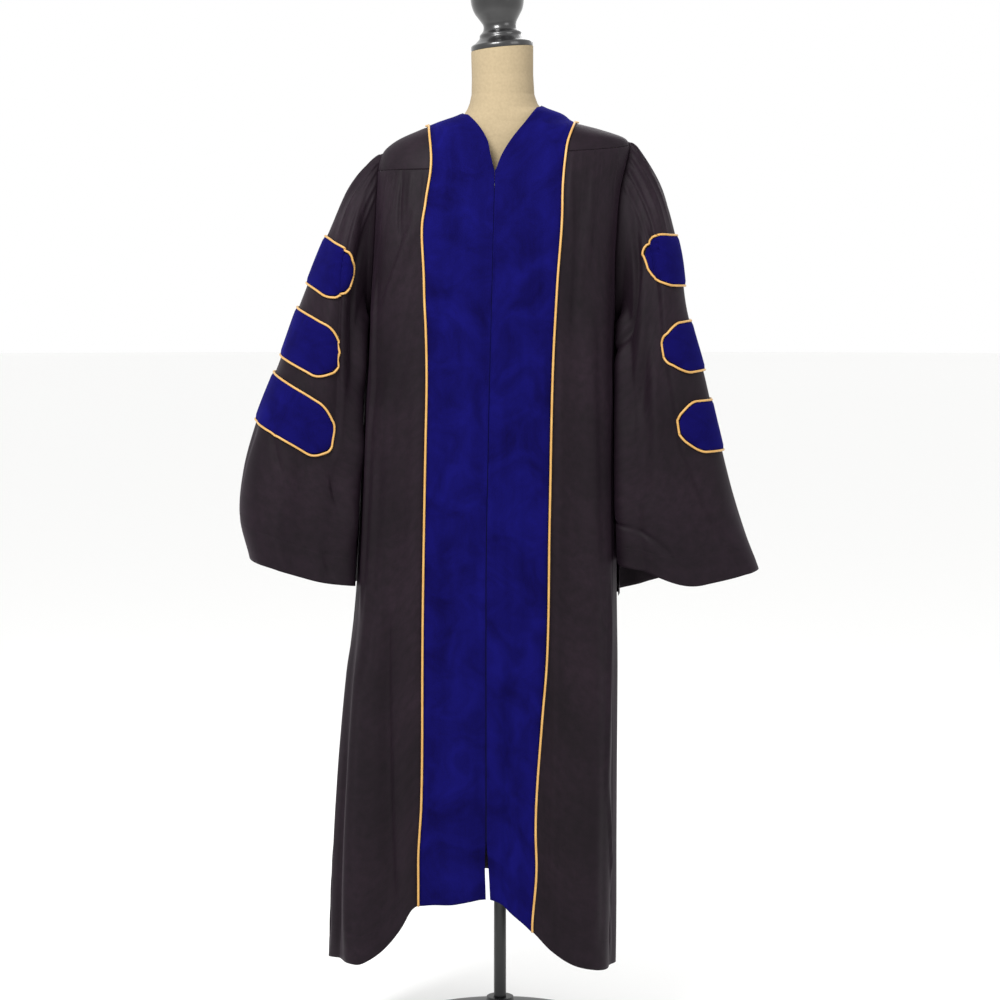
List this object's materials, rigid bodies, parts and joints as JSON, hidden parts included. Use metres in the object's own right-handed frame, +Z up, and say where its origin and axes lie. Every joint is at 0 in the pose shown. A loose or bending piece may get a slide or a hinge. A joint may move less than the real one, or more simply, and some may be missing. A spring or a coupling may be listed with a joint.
{
  "type": "graduation gown on a dress form",
  "caption": "Long open-fronted doctoral gown with velvet front panels, banded bell sleeves and gold piping, hanging on a dress form with a round base.",
  "frame": {"origin": "on the floor, at the centre of the stand's round base", "axes": "+Z up, -Y out of the gown's front, +X to the right of someone who looks at the front"},
  "size_m": [0.8361, 0.386, 1.7357],
  "materials": {
    "gown_cloth": "matte black polyester",
    "velvet": "royal blue velvet",
    "piping": "gold satin cord",
    "zip_tape": "woven black tape",
    "form_cloth": "cream cotton cover",
    "cap_wood": "black satin lacquer",
    "stand_metal": "black satin paint"
  },
  "bodies": {
    "root": {"front_left": "gown_cloth", "front_right": "gown_cloth", "yoke_front_left": "gown_cloth", "yoke_front_right": "gown_cloth", "yoke_back": "gown_cloth", "back_panel": "gown_cloth", "sleeve_left": "gown_cloth", "sleeve_right": "gown_cloth", "velvet_front_left": "velvet", "velvet_front_right": "velvet", "velvet_back_neck": "velvet", "velvet_bar_left_1": "velvet", "velvet_bar_left_2": "velvet", "velvet_bar_left_3": "velvet", "velvet_bar_right_1": "velvet", "velvet_bar_right_2": "velvet", "velvet_bar_right_3": "velvet", "front_piping": "piping", "bar_piping_left_1": "piping", "bar_piping_left_2": "piping", "bar_piping_left_3": "piping", "bar_piping_right_1": "piping", "bar_piping_right_2": "piping", "bar_piping_right_3": "piping", "zip_tape": "zip_tape", "form_torso": "form_cloth", "form_neck_cap": "cap_wood", "stand_pole": "stand_metal", "stand_base": "stand_metal"}
  },
  "joints": []
}
